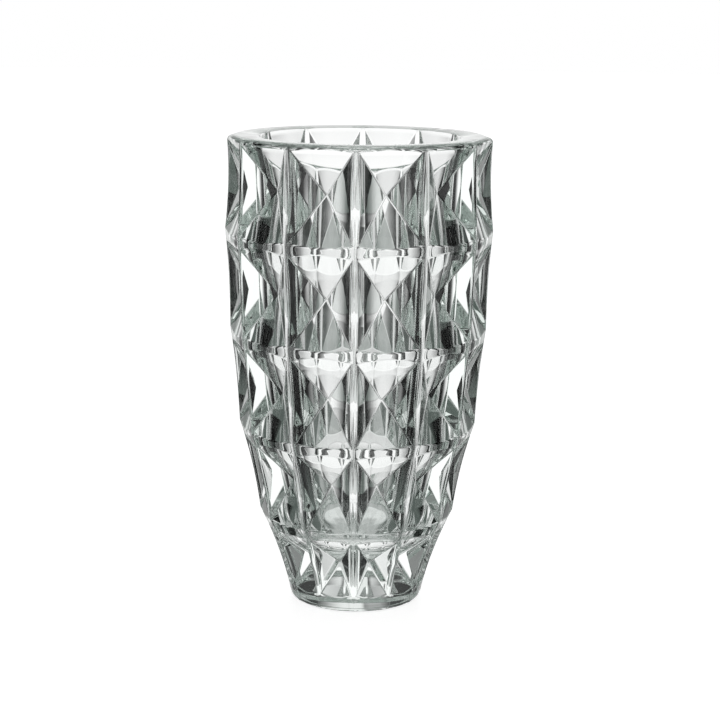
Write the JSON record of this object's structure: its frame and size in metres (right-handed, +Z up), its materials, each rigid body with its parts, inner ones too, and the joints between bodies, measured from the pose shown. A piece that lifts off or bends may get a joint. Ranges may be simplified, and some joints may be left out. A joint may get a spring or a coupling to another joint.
{
  "type": "vase",
  "caption": "Tall cut crystal vase with a tapering faceted body of sunk pyramid tiles, a smooth round cavity and a thick solid base, for holding cut flowers.",
  "frame": {"origin": "centre of the circle that the base rests on", "axes": "+Z up along the vase's axis, out of its mouth; one upright strip of the cut lattice faces -Y"},
  "size_m": [0.1586, 0.1586, 0.28],
  "materials": {
    "clear_crystal": "polished"
  },
  "bodies": {
    "root": {"vase_body": "clear_crystal"}
  },
  "joints": []
}
